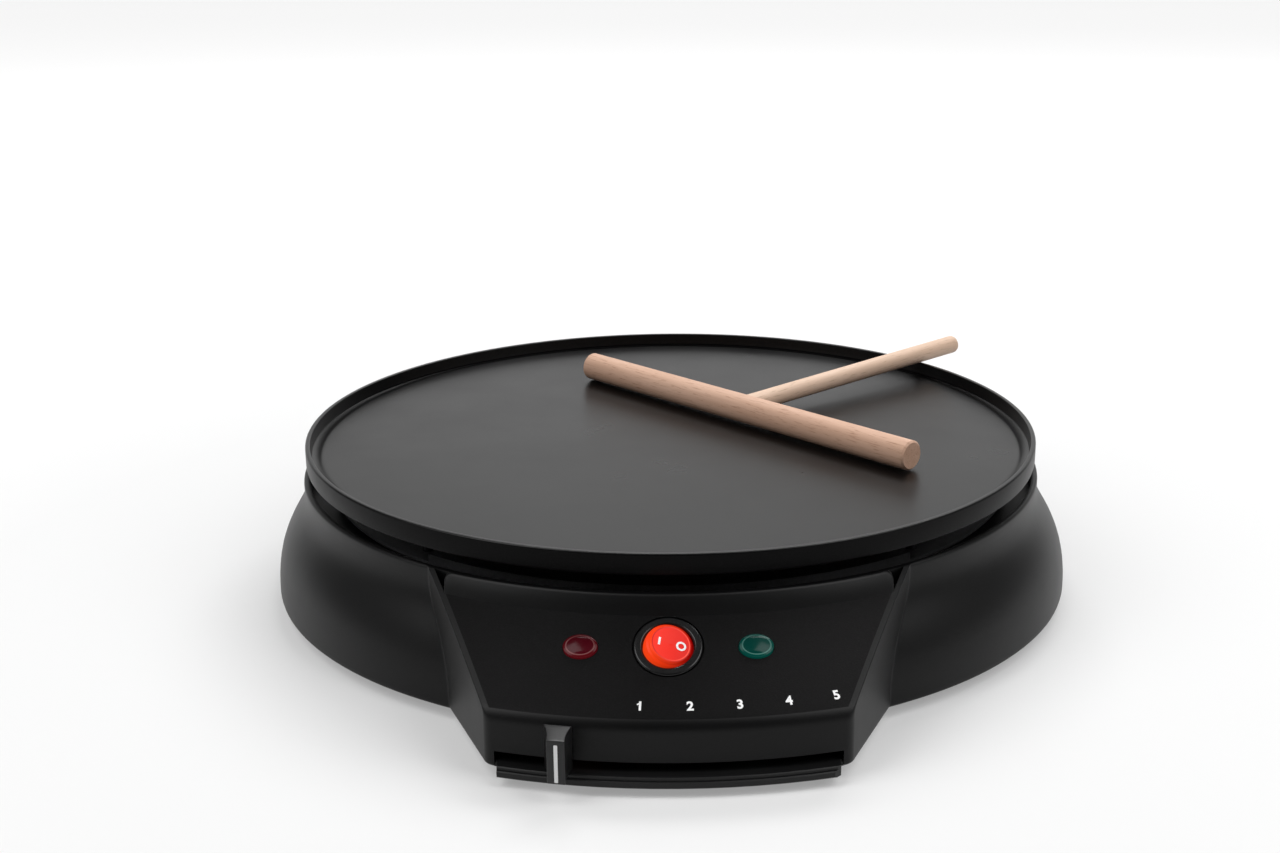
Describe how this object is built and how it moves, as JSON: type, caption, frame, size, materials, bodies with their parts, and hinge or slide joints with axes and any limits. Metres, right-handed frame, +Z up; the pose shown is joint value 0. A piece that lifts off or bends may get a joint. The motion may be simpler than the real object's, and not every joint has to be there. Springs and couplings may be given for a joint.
{
  "type": "electric crepe maker",
  "caption": "Round electric crepe maker with a rimmed non-stick plate, a flared black housing, a front control box with rocker switch and temperature slider, and a wooden T-spreader.",
  "frame": {"origin": "on the table, under the middle of the box round the whole object", "axes": "+Z up, -Y towards the control box at the front, +X to the right seen from the front"},
  "size_m": [0.3274, 0.3686, 0.0739],
  "materials": {
    "plate": "non-stick coated, satin",
    "element": "heat-stained sheath",
    "ceramic": "glazed steatite",
    "sheet": "bright rolled sheet",
    "housing": "black, fine texture",
    "base": "black, fine texture",
    "feet": "soft matt",
    "steel": "zinc plated",
    "brass": "plain",
    "switch_black": "satin black",
    "rocker_red": "translucent, lit",
    "lens_red": "translucent",
    "lens_green": "translucent",
    "lamp": "clear bulb",
    "knob": "black with a white line",
    "fuse": "plain",
    "nylon": "natural",
    "gland": "soft matt",
    "wire": "silicone sleeve",
    "beech": "bare sanded beech"
  },
  "bodies": {
    "base": {"cooking_plate": "plate", "heating_element": "element", "element_terminals": "ceramic", "heat_reflector": "sheet", "upper_housing": "housing", "base_cover": "base", "rubber_feet": "feet", "base_screws": "steel", "plate_screws": "steel", "thermostat_bracket": "steel", "bracket_screws": "steel", "thermostat_body": "ceramic", "thermostat_blades": "brass", "switch_housing": "switch_black", "switch_terminals": "brass", "switch_lamp": "lamp", "red_lens": "lens_red", "green_lens": "lens_green", "indicator_lamps": "lamp", "lens_clips": "steel", "thermal_fuse": "fuse", "fuse_clip": "steel", "terminal_block": "ceramic", "block_screws": "brass", "cord_gland": "gland", "cord_clamp": "nylon", "clamp_screws": "steel", "internal_wires": "wire"},
    "temperature_lever": {"thermostat_shaft": "steel", "slider_lever": "steel", "lever_nut": "steel", "slider_knob": "knob"},
    "rocker": {"switch_rocker": "rocker_red"},
    "spreader": {"spreader_rake": "beech", "spreader_handle": "beech"}
  },
  "joints": [
    {"name": "temperature_slide", "type": "hinge", "parent": "base", "child": "temperature_lever", "pos_m": [0, 0.02065, 0.022], "axis": [0, 0, 1], "range_deg": [-6, 27]},
    {"name": "switch_press", "type": "hinge", "parent": "base", "child": "rocker", "pos_m": [0, -0.14781, 0.03829], "axis": [-0.1392, -0.8443, -0.5174], "range_deg": [0, 30]},
    {"name": "spreader_lift", "type": "slide", "parent": "base", "child": "spreader", "axis": [0, 0, 1], "range_m": [0, 0.15]}
  ]
}
